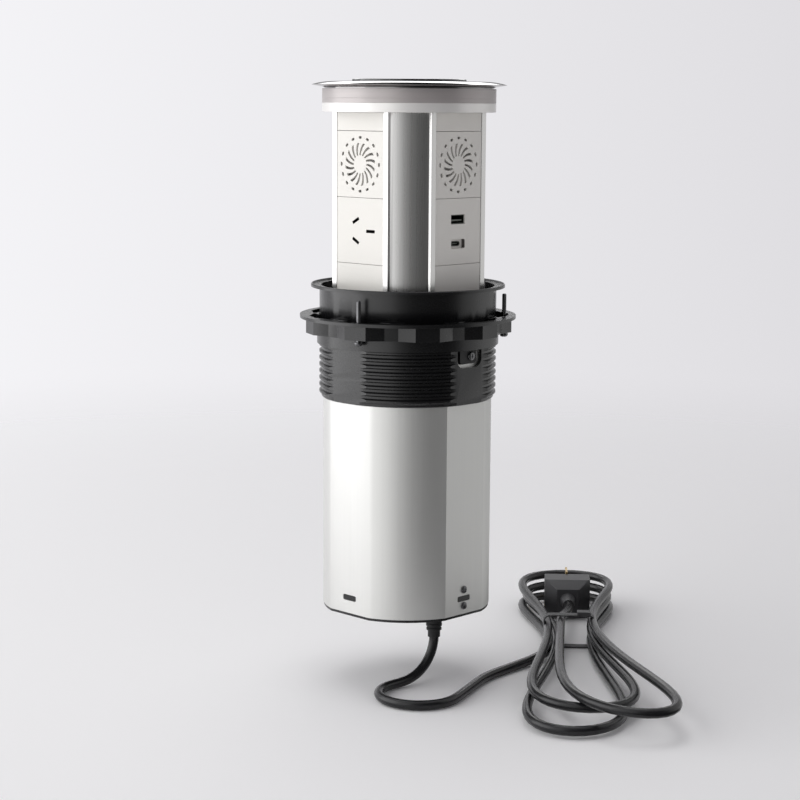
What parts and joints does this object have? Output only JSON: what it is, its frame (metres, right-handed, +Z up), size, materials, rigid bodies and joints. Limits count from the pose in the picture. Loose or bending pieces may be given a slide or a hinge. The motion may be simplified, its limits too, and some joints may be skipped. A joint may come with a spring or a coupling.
{
  "type": "pop up desk socket",
  "caption": "Motorised desk grommet whose square tower rises from a round body with mains sockets, USB ports, speakers and a charging lid; threaded collar, clamp ring and tied mains cord.",
  "frame": {"origin": "centre of the collar flange's underside, on the desk top", "axes": "+Z up out of the desk along the lift, -Y out of the face with a speaker over a mains socket, +X out of the face with the USB ports"},
  "size_m": [0.3121, 0.3413, 0.423],
  "materials": {
    "black_plastic": "satin moulded black",
    "guide_plastic": "dull low-friction plastic",
    "body_aluminium": "fine drawn, natural anodised",
    "post_aluminium": "fine drawn, natural anodised",
    "plated_steel": "bright plated",
    "motor_steel": "plated and ground",
    "circuit_board": "green board with parts",
    "dark_plastic": "matt",
    "cord_rubber": "satin black flexible plastic",
    "tie_plastic": "matt black",
    "brass": "machined",
    "chrome": "mirror plated",
    "pad_gloss": "gloss black",
    "copper": "enamelled copper winding",
    "ferrite": "dull grey ferrite",
    "frosted_light": "frosted, lit from inside",
    "white_plastic": "smooth white",
    "cone_paper": "black paper cone",
    "gear_plastic": "natural nylon",
    "screw_black": "black oxide"
  },
  "bodies": {
    "housing": {"mounting_collar": "black_plastic", "guide_ring": "guide_plastic", "body_tube": "body_aluminium", "base_cap": "black_plastic", "lock_tab": "black_plastic", "housing_screws": "plated_steel", "bracket_plate": "plated_steel", "gear_motor": "motor_steel", "screw_bearings": "plated_steel", "control_board": "circuit_board", "limit_switch": "dark_plastic", "strain_relief": "cord_rubber", "cord_lead": "cord_rubber", "cord_hank": "cord_rubber", "cord_tie": "tie_plastic", "mains_plug": "cord_rubber", "plug_pins": "brass"},
    "tower": {"lid_shell": "chrome", "charging_pad": "pad_gloss", "charging_coil": "copper", "coil_shield": "ferrite", "charger_board": "circuit_board", "light_ring": "frosted_light", "led_board": "circuit_board", "head_ring": "white_plastic", "corner_post_1": "post_aluminium", "corner_post_2": "post_aluminium", "corner_post_3": "post_aluminium", "corner_post_4": "post_aluminium", "post_screws": "plated_steel", "carriage": "guide_plastic", "lift_nut": "brass", "top_fillers": "white_plastic", "bottom_fillers": "white_plastic", "speaker_panel_front": "white_plastic", "speaker_panel_right": "white_plastic", "speaker_frames": "dark_plastic", "speaker_magnets": "ferrite", "socket_panel_front": "white_plastic", "socket_panel_back": "white_plastic", "socket_panel_left": "white_plastic", "socket_bodies": "dark_plastic", "socket_contacts": "brass", "blank_panel_back": "white_plastic", "blank_panel_left": "white_plastic", "usb_panel": "white_plastic", "usb_a_port": "plated_steel", "usb_c_port": "plated_steel", "usb_board": "circuit_board"},
    "front_cone": {"speaker_cone_front": "cone_paper"},
    "right_cone": {"speaker_cone_right": "cone_paper"},
    "screw": {"lead_screw": "motor_steel", "screw_gear": "gear_plastic"},
    "pinion": {"drive_pinion": "brass"},
    "ring": {"clamp_ring": "black_plastic", "clamp_nuts": "brass"},
    "ring_screw_1": {"clamp_screw_1": "screw_black"},
    "ring_screw_2": {"clamp_screw_2": "screw_black"},
    "ring_screw_3": {"clamp_screw_3": "screw_black"}
  },
  "joints": [
    {"name": "tower_lift", "type": "slide", "parent": "housing", "child": "tower", "axis": [0, 0, 1], "range_m": [-0.1363, 0]},
    {"name": "screw_spin", "type": "hinge", "parent": "housing", "child": "screw", "pos_m": [0, 0, -0.12], "axis": [0, 0, 1], "range_deg": [0, 6200]},
    {"name": "pinion_spin", "type": "hinge", "parent": "housing", "child": "pinion", "pos_m": [-0.025, 0, -0.21], "axis": [0, 0, 1], "range_deg": [-15900, 0]},
    {"name": "ring_travel", "type": "slide", "parent": "housing", "child": "ring", "axis": [0, 0, 1], "range_m": [-0.034, 0.003]},
    {"name": "ring_screw_1_travel", "type": "slide", "parent": "ring", "child": "ring_screw_1", "axis": [0, 0, 1], "range_m": [-0.012, 0.0012]},
    {"name": "ring_screw_2_travel", "type": "slide", "parent": "ring", "child": "ring_screw_2", "axis": [0, 0, 1], "range_m": [-0.012, 0.0012]},
    {"name": "ring_screw_3_travel", "type": "slide", "parent": "ring", "child": "ring_screw_3", "axis": [0, 0, 1], "range_m": [-0.012, 0.0012]},
    {"name": "front_cone_stroke", "type": "slide", "parent": "tower", "child": "front_cone", "axis": [0, -1, 0], "range_m": [-0.0004, 0.0004], "stiffness_N_per_m": 400},
    {"name": "right_cone_stroke", "type": "slide", "parent": "tower", "child": "right_cone", "axis": [1, 0, 0], "range_m": [-0.0004, 0.0004], "stiffness_N_per_m": 400}
  ],
  "couplings": [
    {"joint": "screw_spin", "follows": "tower_lift", "rad_per_m": -785.4},
    {"joint": "pinion_spin", "follows": "tower_lift", "rad_per_m": 2019.6}
  ]
}
